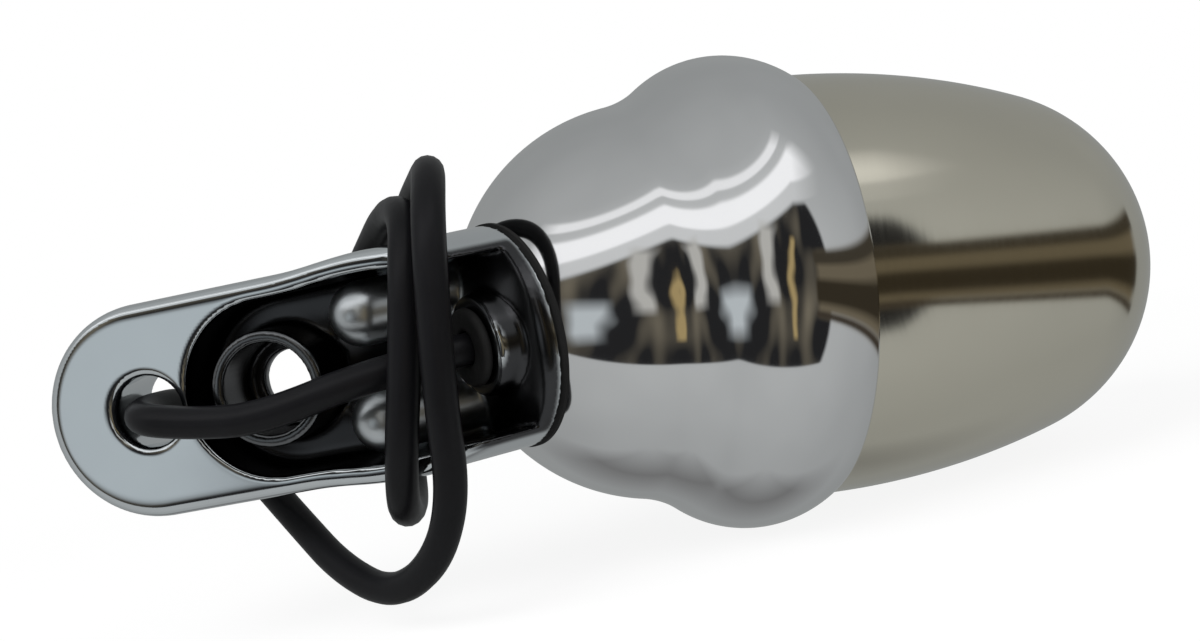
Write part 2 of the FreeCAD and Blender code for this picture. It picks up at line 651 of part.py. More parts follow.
# The lead: out of the grommet, along the trough, through the pad hole, then wound twice round the arm
cord_points = [
    cord_stop,
    spot(*on_neck(f"({collar_face} + {cell.cord_reach})", cord_shift)),
    FreeCAD.Vector(1.0, -6.2, -3.6),
    FreeCAD.Vector(-9.5, -5.8, -2.4),
    FreeCAD.Vector(-18.0, -5.4, -0.4),
    FreeCAD.Vector(-20.3, 3.0, 0.2),
    FreeCAD.Vector(-19.4, 13.0, -0.3),
    FreeCAD.Vector(-18.5, 20.0, -4.5),
    FreeCAD.Vector(-13.5, 20.0, -14.0),
    FreeCAD.Vector(-5.5, 14.5, -22.5),
    FreeCAD.Vector(2.0, 8.5, -29.5),
    FreeCAD.Vector(11.0, 3.0, -33.5),
    FreeCAD.Vector(20.3, -2.5, -29.0),
    FreeCAD.Vector(26.2, -6.0, -19.5),
    FreeCAD.Vector(28.2, -9.3, -6.0),
    FreeCAD.Vector(30.2, -9.8, 8.0),
    FreeCAD.Vector(31.3, -7.6, 19.0),
    FreeCAD.Vector(30.6, 0.0, 25.6),
    FreeCAD.Vector(27.8, 9.0, 26.2),
    FreeCAD.Vector(20.0, 21.0, 21.5),
    FreeCAD.Vector(13.0, 28.0, 10.5),
    FreeCAD.Vector(10.5, 28.5, -4.0),
    FreeCAD.Vector(11.5, 22.0, -16.0),
    FreeCAD.Vector(14.5, 11.0, -22.0),
    FreeCAD.Vector(16.3, 0.5, -21.6),
    FreeCAD.Vector(19.6, -5.8, -13.5),
    FreeCAD.Vector(23.6, -6.8, 0.5),
    FreeCAD.Vector(25.8, -5.4, 12.5),
    FreeCAD.Vector(26.0, 0.0, 20.6),
    FreeCAD.Vector(20.5, 9.8, 21.8),
    FreeCAD.Vector(12.5, 19.5, 16.0),
    FreeCAD.Vector(6.5, 22.0, 9.5),
]
cord_solid, cord_length, cord_radii = tube(cord_points, value(cell.cord_radius))
lead_cord = doc.addObject("Part::Feature", "lead_cord")
lead_cord.Shape = cord_solid
finish(lead_cord, "lead_cord")
print("lead length", round(cord_length, 1), "radii", [round(radius, 1) for radius in cord_radii])

doc.recompute()
for item in doc.Objects:
    if any(word in ("Invalid", "Error") for word in item.State):
        raise RuntimeError(f"{item.Name} failed: {item.State}")
for piece in parts:
    if piece.Shape.isNull() or not piece.Shape.isValid():
        raise RuntimeError(f"{piece.Label} has no valid shape")
os.makedirs("parts", exist_ok=True)
for piece in parts:
    piece.Shape.exportStep(f"parts/{piece.Label}.step")
    print(piece.Label, len(piece.Shape.Solids), round(piece.Shape.Volume, 1))
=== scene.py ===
import json
import math

import bpy
from mathutils import Matrix, Vector


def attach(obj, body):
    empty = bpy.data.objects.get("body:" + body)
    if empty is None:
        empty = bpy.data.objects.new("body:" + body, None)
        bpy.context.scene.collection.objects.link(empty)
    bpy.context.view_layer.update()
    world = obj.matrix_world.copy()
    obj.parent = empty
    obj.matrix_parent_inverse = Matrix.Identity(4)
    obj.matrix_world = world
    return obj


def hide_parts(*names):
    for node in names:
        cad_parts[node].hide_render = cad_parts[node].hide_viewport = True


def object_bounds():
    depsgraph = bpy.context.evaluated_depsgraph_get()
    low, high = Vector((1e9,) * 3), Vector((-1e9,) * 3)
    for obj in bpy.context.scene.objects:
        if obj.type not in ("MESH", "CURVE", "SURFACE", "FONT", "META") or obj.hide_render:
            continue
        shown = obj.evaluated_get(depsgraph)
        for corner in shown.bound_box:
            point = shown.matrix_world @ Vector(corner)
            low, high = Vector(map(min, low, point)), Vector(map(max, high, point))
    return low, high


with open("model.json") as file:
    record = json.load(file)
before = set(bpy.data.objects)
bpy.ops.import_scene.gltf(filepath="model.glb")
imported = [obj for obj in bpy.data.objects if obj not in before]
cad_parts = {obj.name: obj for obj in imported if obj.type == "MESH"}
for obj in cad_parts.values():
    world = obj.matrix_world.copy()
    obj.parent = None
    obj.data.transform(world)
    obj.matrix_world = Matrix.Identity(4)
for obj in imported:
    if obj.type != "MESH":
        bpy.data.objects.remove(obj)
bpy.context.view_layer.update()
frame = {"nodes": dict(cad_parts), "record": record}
scene = bpy.context.scene
scene.view_settings.view_transform = "Standard"
mm = 0.001
print("frame loaded:", len(frame["nodes"]), "nodes")


class Wire:  # a node socket that can be used in sums
    def __init__(self, tree, socket):
        self.tree = tree
        self.socket = socket

    @staticmethod
    def add(tree, kind, settings=None, inputs=None, output=0):
        node = tree.nodes.new(kind)
        for key, setting in (settings or {}).items():
            setattr(node, key, setting)
        for key, entry in (inputs or {}).items():
            socket = node.inputs[key]
            if isinstance(entry, Wire):
                tree.links.new(entry.socket, socket)
            else:
                socket.default_value = entry
        return Wire(tree, node.outputs[output]) if len(node.outputs) else node

    def math(self, operation, *others):
        inputs = dict(enumerate((self, *others)))
        return Wire.add(self.tree, "ShaderNodeMath", {"operation": operation}, inputs)

    def __add__(self, other):
        return self.math("ADD", other)

    __radd__ = __add__

    def __mul__(self, other):
        return self.math("MULTIPLY", other)

    __rmul__ = __mul__

    def __sub__(self, other):
        return self.math("SUBTRACT", other)

    def __rsub__(self, other):
        return Wire.add(self.tree, "ShaderNodeMath", {"operation": "SUBTRACT"}, {0: other, 1: self})

    def __truediv__(self, other):
        return self.math("DIVIDE", other)

    def __neg__(self):
        return self * -1.0

    def clamp(self):
        return self.math("MINIMUM", 1.0).math("MAXIMUM", 0.0)

    def part(self, axis):
        return Wire.add(self.tree, "ShaderNodeSeparateXYZ", None, {0: self}, axis)


# Camera, from the photograph's outline
view = {"azimuth": 10.79, "elevation": 3.6, "roll": -11.67, "distance": 224.35, "across": 7.2,
        "along": 1.01, "target": (40.0, 15.0, 0.0), "lens": 45.0, "sensor": 36.0, "nearest": 0.01}
az, el, roll = (math.radians(view[key]) for key in ("azimuth", "elevation", "roll"))
camBack = Vector((math.sin(az) * math.cos(el), -math.cos(az) * math.cos(el), math.sin(el)))
flatRight = Vector((math.cos(az), math.sin(az), 0.0))
flatUp = camBack.cross(flatRight)
camRight = flatRight * math.cos(roll) + flatUp * math.sin(roll)
camUp = flatUp * math.cos(roll) - flatRight * math.sin(roll)
eye = Vector(view["target"]) + camBack * view["distance"]
eye = eye + camRight * view["across"] + camUp * view["along"]
cameraData = bpy.data.cameras.new("camera")
cameraData.lens = view["lens"]
cameraData.sensor_width = view["sensor"]
cameraData.sensor_fit = "HORIZONTAL"
cameraData.clip_start = view["nearest"]
camera = bpy.data.objects.new("camera", cameraData)
turn = Matrix((camRight, camUp, camBack)).transposed()
camera.matrix_world = Matrix.Translation(eye * mm) @ turn.to_4x4()
scene.collection.objects.link(camera)
scene.camera = camera
print("camera set")


def newMaterial(name):
    material = bpy.data.materials.new(name)
    material.use_nodes = True
    material.node_tree.nodes.clear()
    return material


def finishMaterial(material, inputs):
    tree = material.node_tree
    surface = Wire.add(tree, "ShaderNodeBsdfPrincipled", None, inputs)
    Wire.add(tree, "ShaderNodeOutputMaterial", None, {"Surface": surface})
    return material


def objectPlace(tree, turnBy=(0.0, 0.0, 0.0), stretch=(1.0, 1.0, 1.0)):
    place = Wire.add(tree, "ShaderNodeTexCoord", None, None, 3)
    return Wire.add(tree, "ShaderNodeMapping", None,
                    {"Vector": place, "Rotation": turnBy, "Scale": stretch})


def noise(tree, place, scale, detail=3.0):
    return Wire.add(tree, "ShaderNodeTexNoise", None,
                    {"Vector": place, "Scale": scale, "Detail": detail})


def mixColours(tree, share, first, second):
    return Wire.add(tree, "ShaderNodeMix", {"data_type": "RGBA"}, {0: share, 6: first, 7: second}, 2)


def bump(tree, height, strength, distance):
    return Wire.add(tree, "ShaderNodeBump", None,
                    {"Height": height, "Strength": strength, "Distance": distance})


bumpDepth = {"metal": 0.0001, "skin": 0.0002, "glass": 0.0003}
lampTilt = math.radians(26.0)
lampDrop = math.radians(6.3)
neckTilt = math.radians(41.7)
domeCentre = Vector((52.7, 33.3, 0.0))
domeRadius = 31.5
lampAxis = Vector((math.cos(lampTilt) * math.cos(lampDrop), math.sin(lampTilt) * math.cos(lampDrop),
                   -math.sin(lampDrop)))
neckAxis = Vector((math.cos(neckTilt), math.sin(neckTilt), 0.0))
openSide = Vector((neckAxis.y, -neckAxis.x, 0.0))
cordShift = 6.0
lampTurn = (0.0, -lampDrop, -lampTilt)


def metal(name, look):
    material = newMaterial(name)
    tree = material.node_tree
    place = objectPlace(tree)
    cloud = noise(tree, place, look["cloudScale"], 4.0)
    lined = objectPlace(tree, look.get("turn", (0.0, 0.0, 0.0)), look["lineStretch"])
    lines = noise(tree, lined, 1.0, 2.0)
    dull = look["rough"] + cloud * look["roughSpread"] + lines * look["lineRough"]
    shade = mixColours(tree, cloud, (*look["colour"], 1.0), (*look["worn"], 1.0))
    # painted shade: where the mark attribute is set, the base colour is mixed towards a near-black shade
    # colour, and roughness is also raised
    if "paintedShadeMark" in look:
        mark = Wire.add(tree, "ShaderNodeAttribute", {"attribute_name": look["paintedShadeMark"]}, None, 2)
        shade = mixColours(tree, mark, shade, (*look["paintedShadeColour"], 1.0))
        satin = Wire.add(tree, "ShaderNodeAttribute", {"attribute_name": look["satinMark"]}, None, 2)
        dull = dull + mark * look["dullRough"] + satin * look["satinRough"]
    dent = bump(tree, lines, look["lineBump"], bumpDepth["metal"])
    return finishMaterial(material, {"Base Color": shade, "Metallic": 1.0, "Roughness": dull,
                                     "Normal": dent})


bellLook = {"colour": (0.83, 0.835, 0.84), "worn": (0.77, 0.775, 0.78), "cloudScale": 38.0, "rough": 0.02,
            "roughSpread": 0.05, "lineStretch": (900.0, 60.0, 60.0), "turn": lampTurn, "lineRough": 0.02,
            "lineBump": 0.006}
# the arm's mark paints shade: a near-black base colour in the hollow and on the bolt boss, standing in for
# the dark reflections there; the satin mark only raises roughness
castLook = {"colour": (0.74, 0.78, 0.80), "worn": (0.68, 0.71, 0.73), "cloudScale": 70.0, "rough": 0.03,
            "roughSpread": 0.07, "lineStretch": (160.0, 160.0, 160.0), "lineRough": 0.03, "lineBump": 0.03,
            "paintedShadeMark": "castPaintedShade", "paintedShadeColour": (0.075, 0.076, 0.08), "dullRough": 0.16,
            "satinMark": "castSatin", "satinRough": 0.26}
shellLook = {"colour": (0.73, 0.70, 0.595), "worn": (0.65, 0.62, 0.52), "cloudScale": 30.0,
             "rough": 0.06, "roughSpread": 0.05, "lineStretch": (1400.0, 50.0, 50.0), "turn": lampTurn,
             "lineRough": 0.05, "lineBump": 0.02}
steelLook = {"colour": (0.60, 0.60, 0.61), "worn": (0.50, 0.50, 0.51), "cloudScale": 120.0, "rough": 0.28,
             "roughSpread": 0.15, "lineStretch": (700.0, 120.0, 120.0), "lineRough": 0.08,
             "lineBump": 0.05}
dishLook = {"colour": (0.90, 0.90, 0.90), "worn": (0.84, 0.84, 0.84), "cloudScale": 40.0, "rough": 0.03,
            "roughSpread": 0.04, "lineStretch": (500.0, 60.0, 60.0), "turn": lampTurn, "lineRough": 0.02,
            "lineBump": 0.01}
brassLook = {"colour": (0.76, 0.58, 0.27), "worn": (0.55, 0.39, 0.17), "cloudScale": 150.0, "rough": 0.22,
             "roughSpread": 0.18, "lineStretch": (600.0, 90.0, 90.0), "turn": lampTurn, "lineRough": 0.08,
             "lineBump": 0.05}
wireLook = {"colour": (0.34, 0.34, 0.35), "worn": (0.24, 0.24, 0.25), "cloudScale": 500.0, "rough": 0.35,
            "roughSpread": 0.1, "lineStretch": (2000.0, 2000.0, 2000.0), "lineRough": 0.05,
            "lineBump": 0.1}


def dullSkin(name, look):
    material = newMaterial(name)
    tree = material.node_tree
    place = objectPlace(tree)
    grain = noise(tree, place, look["grainScale"], 5.0)
    cloud = noise(tree, place, look["cloudScale"], 3.0)
    shade = mixColours(tree, cloud, (*look["colour"], 1.0), (*look["faded"], 1.0))
    dull = look["rough"] + grain * look["roughSpread"]
    return finishMaterial(material, {"Base Color": shade, "Roughness": dull,
                                     "Specular IOR Level": look.get("specular", 0.4),
                                     "Normal": bump(tree, grain, look["bump"], bumpDepth["skin"])})


rubberLook = {"colour": (0.006, 0.006, 0.006), "faded": (0.012, 0.012, 0.012), "grainScale": 900.0,
              "cloudScale": 90.0, "rough": 0.5, "roughSpread": 0.25, "bump": 0.25, "specular": 0.15}
sheathLook = {"colour": (0.003, 0.003, 0.0035), "faded": (0.006, 0.006, 0.007), "grainScale": 700.0,
              "cloudScale": 60.0, "rough": 0.28, "roughSpread": 0.15, "bump": 0.08, "specular": 0.16}
brownLook = {"colour": (0.20, 0.10, 0.045), "faded": (0.28, 0.15, 0.07), "grainScale": 600.0,
             "cloudScale": 130.0, "rough": 0.4, "roughSpread": 0.2, "bump": 0.15}
wireSkinLook = {"colour": (0.02, 0.02, 0.02), "faded": (0.04, 0.04, 0.04), "grainScale": 900.0,
                "cloudScale": 200.0, "rough": 0.4, "roughSpread": 0.2, "bump": 0.1}


def clearGlass(name, look):
    material = newMaterial(name)
    tree = material.node_tree
    ripple = noise(tree, objectPlace(tree), look["rippleScale"], 2.0)
    dull = look["rough"] + ripple * look["roughSpread"]
    return finishMaterial(material, {"Base Color": (*look["colour"], 1.0), "Roughness": dull,
                                     "IOR": look["index"], "Transmission Weight": 1.0,
                                     "Normal": bump(tree, ripple, look["bump"], bumpDepth["glass"])})


bulbLook = {"colour": (0.97, 0.97, 0.97), "rough": 0.0, "roughSpread": 0.04, "rippleScale": 60.0,
            "bump": 0.02, "index": 1.5}
lensLook = {"colour": (0.96, 0.97, 0.95), "rough": 0.01, "roughSpread": 0.05, "rippleScale": 110.0,
            "bump": 0.12, "index": 1.5}
finishes = {
    "cast_chrome": metal("castChrome", castLook),
    "bell_chrome": metal("bellChrome", bellLook),
    "shell_steel": metal("shellSteel", shellLook),
    "steel": metal("platedSteel", steelLook),
    "reflector_metal": metal("dishMirror", dishLook),
    "brass": metal("contactBrass", brassLook),
    "filament_wire": metal("filamentWire", wireLook),
    "rubber": dullSkin("sealRubber", rubberLook),
    "lead_sheath": dullSkin("leadSheath", sheathLook),
    "insulator": dullSkin("brownInsulator", brownLook),
    "lead_insulation": dullSkin("wireSkin", wireSkinLook),
    "bulb_clear": clearGlass("bulbGlass", bulbLook),
    "lens_glass": clearGlass("lensGlass", lensLook),
}
for entry in frame["record"]["subparts"]:
    meshData = frame["nodes"][entry["node"]].data
    meshData.materials.clear()
    meshData.materials.append(finishes[entry["material_slot"]])
print("finishes made:", len(finishes))


def newTree(name, sizes):
    tree = bpy.data.node_groups.new(name, "GeometryNodeTree")
    tree.interface.new_socket(name="Geometry", in_out="INPUT", socket_type="NodeSocketGeometry")
    keys = {}
    for key in sizes:
        entry = tree.interface.new_socket(name=key, in_out="INPUT", socket_type="NodeSocketFloat")
        keys[key] = entry.identifier
    tree.interface.new_socket(name="Geometry", in_out="OUTPUT", socket_type="NodeSocketGeometry")
    source = tree.nodes.new("NodeGroupInput")
    wires = {key: Wire(tree, source.outputs[key]) for key in sizes}
    return tree, keys, wires


def closeTree(tree, surface, material):
    real = Wire.add(tree, "GeometryNodeRealizeInstances", None, {"Geometry": surface})
    smooth = Wire.add(tree, "GeometryNodeSetShadeSmooth", None, {"Geometry": real, "Shade Smooth": True})
    coated = Wire.add(tree, "GeometryNodeSetMaterial", None, {"Geometry": smooth, "Material": material})
    Wire.add(tree, "NodeGroupOutput", None, {0: coated})


def bakeTree(name, tree, keys, sizes):
    piece = bpy.data.objects.new(name, bpy.data.meshes.new(name))
    scene.collection.objects.link(piece)
    modifier = piece.modifiers.new("shape", "NODES")
    modifier.node_group = tree
    for key, identifier in keys.items():
        modifier[identifier] = float(sizes[key])
    bpy.context.view_layer.update()
    posed = piece.evaluated_get(bpy.context.evaluated_depsgraph_get())
    made = bpy.data.meshes.new_from_object(posed)
    piece.modifiers.remove(modifier)
    piece.data = made
    made.name = name
    return piece


def signedVolume(mesh):
    mesh.calc_loop_triangles()
    spots = [vertex.co for vertex in mesh.vertices]
    return sum(spots[a].dot(spots[b].cross(spots[c])) for a, b, c in
               (triangle.vertices for triangle in mesh.loop_triangles)) / 6.0


def dress(piece, slot, *nodes):
    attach(piece, "root")
    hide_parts(*nodes)


mergeGap = 0.000002
sharpAngle = math.radians(35.0)


# A turned piece is a path of straight runs and arcs, swept once round an axis
def turnedPiece(name, sizes, start, runs, axisStart, axis, material, around=192):
    tree, keys, size = newTree(name, sizes)
    total = sum(run["steps"] for run in runs)
    grid = Wire.add(tree, "GeometryNodeMeshGrid", None,
                    {"Size X": 1.0, "Size Y": 1.0, "Vertices X": total + 1, "Vertices Y": around + 1})
    spot = Wire.add(tree, "GeometryNodeInputPosition")
    step = (spot.part(0) + 0.5) * float(total)
    swing = (spot.part(1) + 0.5) * (2.0 * math.pi)
    along = size[start[0]] * mm
    out = size[start[1]] * mm
    passed = 0
    for run in runs:
        share = Wire.add(tree, "ShaderNodeMath", {"operation": "MULTIPLY", "use_clamp": True},
                         {0: step - float(passed), 1: 1.0 / run["steps"]})
        passed += run["steps"]
        if "radius" in run:
            first = math.radians(run["from"])
            heading = first + share * math.radians(run["to"] - run["from"])
            reach = size[run["radius"]] * (mm if run["to"] > run["from"] else -mm)
            along = along + reach * (heading.math("SINE") - math.sin(first))
            out = out + reach * (math.cos(first) - heading.math("COSINE"))
        else:
            reach = share * size[run["length"]] * mm
            along = along + reach * math.cos(math.radians(run["heading"]))
            out = out + reach * math.sin(math.radians(run["heading"]))
    side = Vector((0.0, 0.0, 1.0)).cross(axis).normalized()
    third = axis.cross(side)
    place = [axisStart[index] * mm + along * axis[index] + out * (swing.math("COSINE") * side[index]
             + swing.math("SINE") * third[index]) for index in range(3)]
    spread = Wire.add(tree, "ShaderNodeCombineXYZ", None, dict(enumerate(place)))
    moved = Wire.add(tree, "GeometryNodeSetPosition", None, {"Geometry": grid, "Position": spread})
    closed = Wire.add(tree, "GeometryNodeMergeByDistance", None,
                      {"Geometry": moved, "Distance": mergeGap})
    closeTree(tree, closed, material)
    piece = bakeTree(name, tree, keys, sizes)
    if signedVolume(piece.data) < 0:
        piece.data.flip_normals()
    piece.data.set_sharp_from_angle(angle=sharpAngle)
    return piece


def straight(name, sizes, first, last, steps=1):
    sizes[name] = math.dist(first, last)
    return {"length": name, "heading": math.degrees(math.atan2(last[1] - first[1], last[0] - first[0])),
            "steps": steps}


def sine(angle):
    return math.sin(math.radians(angle))


def cosine(angle):
    return math.cos(math.radians(angle))


apex = domeCentre - lampAxis * domeRadius

# Bell housing: dome, cove, bulging rim and rolled lip outside, stepped bore inside
bell = {"start": 0.0, "domeRadius": domeRadius, "coveRadius": 16.0, "bulgeRadius": 18.0, "lipRoll": 0.25,
        "boreRadius": 29.5}
bellPlan = {"coveStart": 26.0, "coveAngle": 38.0, "lipAngle": 34.0, "lipDepth": 2.2, "rimBore": 35.1,
            "rimDepth": 14.5, "throatBore": 30.6, "throatDepth": 21.3}
coveStart, coveAngle, lipAngle = (bellPlan[key] for key in ("coveStart", "coveAngle", "lipAngle"))
rimBore, throatBore = (bellPlan[key] for key in ("rimBore", "throatBore"))
toCentre = domeRadius - coveStart
coveFrom = math.degrees(math.asin(toCentre / domeRadius))
coveEdge = domeRadius * cosine(coveFrom)
flareS = coveStart + bell["coveRadius"] * (sine(coveAngle) - sine(coveFrom))
flareR = coveEdge + bell["coveRadius"] * (cosine(coveFrom) - cosine(coveAngle))
lipS = flareS + bell["bulgeRadius"] * (sine(coveAngle) + sine(lipAngle))
lipR = flareR + bell["bulgeRadius"] * (cosine(lipAngle) - cosine(coveAngle))
lipFace = lipS - bellPlan["lipDepth"]
rollEnd = (lipS - bell["lipRoll"] * sine(lipAngle), lipR - bell["lipRoll"] * (1.0 + cosine(lipAngle)))
seatS = lipFace - bellPlan["rimDepth"]
throatS = lipFace - bellPlan["throatDepth"]
boreEdge = math.sqrt(bell["boreRadius"] ** 2 - toCentre ** 2)
boreFrom = math.degrees(math.asin(toCentre / bell["boreRadius"]))
bellRuns = [
    {"radius": "domeRadius", "from": 90.0, "to": coveFrom, "steps": 60},
    {"radius": "coveRadius", "from": coveFrom, "to": coveAngle, "steps": 22},
    {"radius": "bulgeRadius", "from": coveAngle, "to": -lipAngle, "steps": 40},
    {"radius": "lipRoll", "from": -lipAngle, "to": -180.0, "steps": 10},
    straight("lipRun", bell, rollEnd, (lipFace, rollEnd[1])),
    straight("lipStep", bell, (lipFace, rollEnd[1]), (lipFace, rimBore)),
    straight("rimBore", bell, (lipFace, rimBore), (seatS, rimBore)),
    straight("seat", bell, (seatS, rimBore), (throatS, throatBore)),
    straight("throat", bell, (throatS, throatBore), (coveStart, boreEdge)),
    {"radius": "boreRadius", "from": 180.0 + boreFrom, "to": 270.0, "steps": 24},
]
bellPiece = turnedPiece("bell", bell, ("start", "start"), bellRuns, apex, lampAxis,
                        finishes["bell_chrome"])
dress(bellPiece, "bell_chrome", "bell_housing")
print("bell turned:", len(bellPiece.data.polygons), "faces")

# Bullet shell: turned-out edge, barrel and nose of sheet
shellPlan = {"sheet": 0.9, "edge": 34.9, "barrel": 34.2, "barrelEnd": 4.0, "nose": 30.0, "noseReach": 29.0,
             "mouth": 14.45}
sheet, edge, barrel, nose = (shellPlan[key] for key in ("sheet", "edge", "barrel", "nose"))
noseReach = shellPlan["noseReach"]
bullet = {"start": lipFace - sheet, "edgeRadius": edge, "noseRadius": nose, "noseInside": nose - sheet,
          "edgeRoll": sheet / 2.0}
barrelS = lipS + shellPlan["barrelEnd"]
edgeS = lipFace - sheet
barrelInside = barrel - sheet
sideRadius = (noseReach ** 2 + barrel ** 2 - nose ** 2) / (2.0 * (barrel - nose))
blend = math.degrees(math.asin(noseReach / (sideRadius - nose)))
opening = math.degrees(math.acos(shellPlan["mouth"] / (nose - bullet["edgeRoll"])))
bullet["sideRadius"] = sideRadius
bullet["sideInside"] = sideRadius - sheet
bulletRuns = [
    straight("edgeWidth", bullet, (edgeS, edge), (lipFace, edge)),
    straight("edgeStep", bullet, (lipFace, edge), (lipFace, barrel)),
    straight("barrel", bullet, (lipFace, barrel), (barrelS, barrel), 4),
    {"radius": "sideRadius", "from": 0.0, "to": -blend, "steps": 48},
    {"radius": "noseRadius", "from": -blend, "to": -opening, "steps": 40},
    {"radius": "edgeRoll", "from": -opening, "to": -opening - 180.0, "steps": 10},
    {"radius": "noseInside", "from": 180.0 - opening, "to": 180.0 - blend, "steps": 20},
    {"radius": "sideInside", "from": 180.0 - blend, "to": 180.0, "steps": 24},
    straight("barrelInside", bullet, (barrelS, barrelInside), (edgeS, barrelInside)),
    straight("edgeBack", bullet, (edgeS, barrelInside), (edgeS, edge)),
]
bulletPiece = turnedPiece("bullet", bullet, ("start", "edgeRadius"), bulletRuns, apex, lampAxis,
                          finishes["shell_steel"])
dress(bulletPiece, "shell_steel", "bullet_shell")
print("bullet turned:", len(bulletPiece.data.polygons), "faces")

# Mounting arm: a rounded solid given by its distance rule, in millimetres
arm = {"halfWidth": 16.0, "depth": 13.0, "wall": 3.0, "floor": 2.5, "padHole": 5.25, "padPlace": -19.0,
       "troughLeft": -12.5, "baseEnd": 22.0, "bossRadius": 8.6, "boltBore": 4.6, "counterbore": 6.8,
       "flangeRadius": 17.0, "rootRadius": 16.5, "neckLength": 46.0, "seatRadius": 32.0, "web": 2.0,
       "screwOffset": 7.9, "screwInset": 4.0, "screwBoss": 4.85, "bossLength": 13.0, "collarRadius": 7.6,
       "collarLength": 1.2, "cordShift": cordShift, "cordHole": 4.6, "cordPast": 1.0, "screwHole": 2.05,
       "threadDepth": 10.0, "bossShare": 0.9, "rimRound": 3.4, "backRound": 4.0, "innerRound": 1.2,
       "holeRound": 2.0, "blendRound": 2.4, "edgeRound": 0.9, "fineRound": 0.3, "threadRound": 0.2}
# extents of the painted shade in the hollow and on the bolt boss, and of the satin screw noses
armMarks = {"hollow": 1.5, "soft": 0.5, "mouth": 0.3, "bolt": 0.5, "boltSoft": 0.3, "boltShare": 0.85,
            "nose": 0.9}
armGrid = {"low": (-36.0, -1.0, -18.5), "high": (49.0, 28.2, 18.5), "voxel": 0.42}


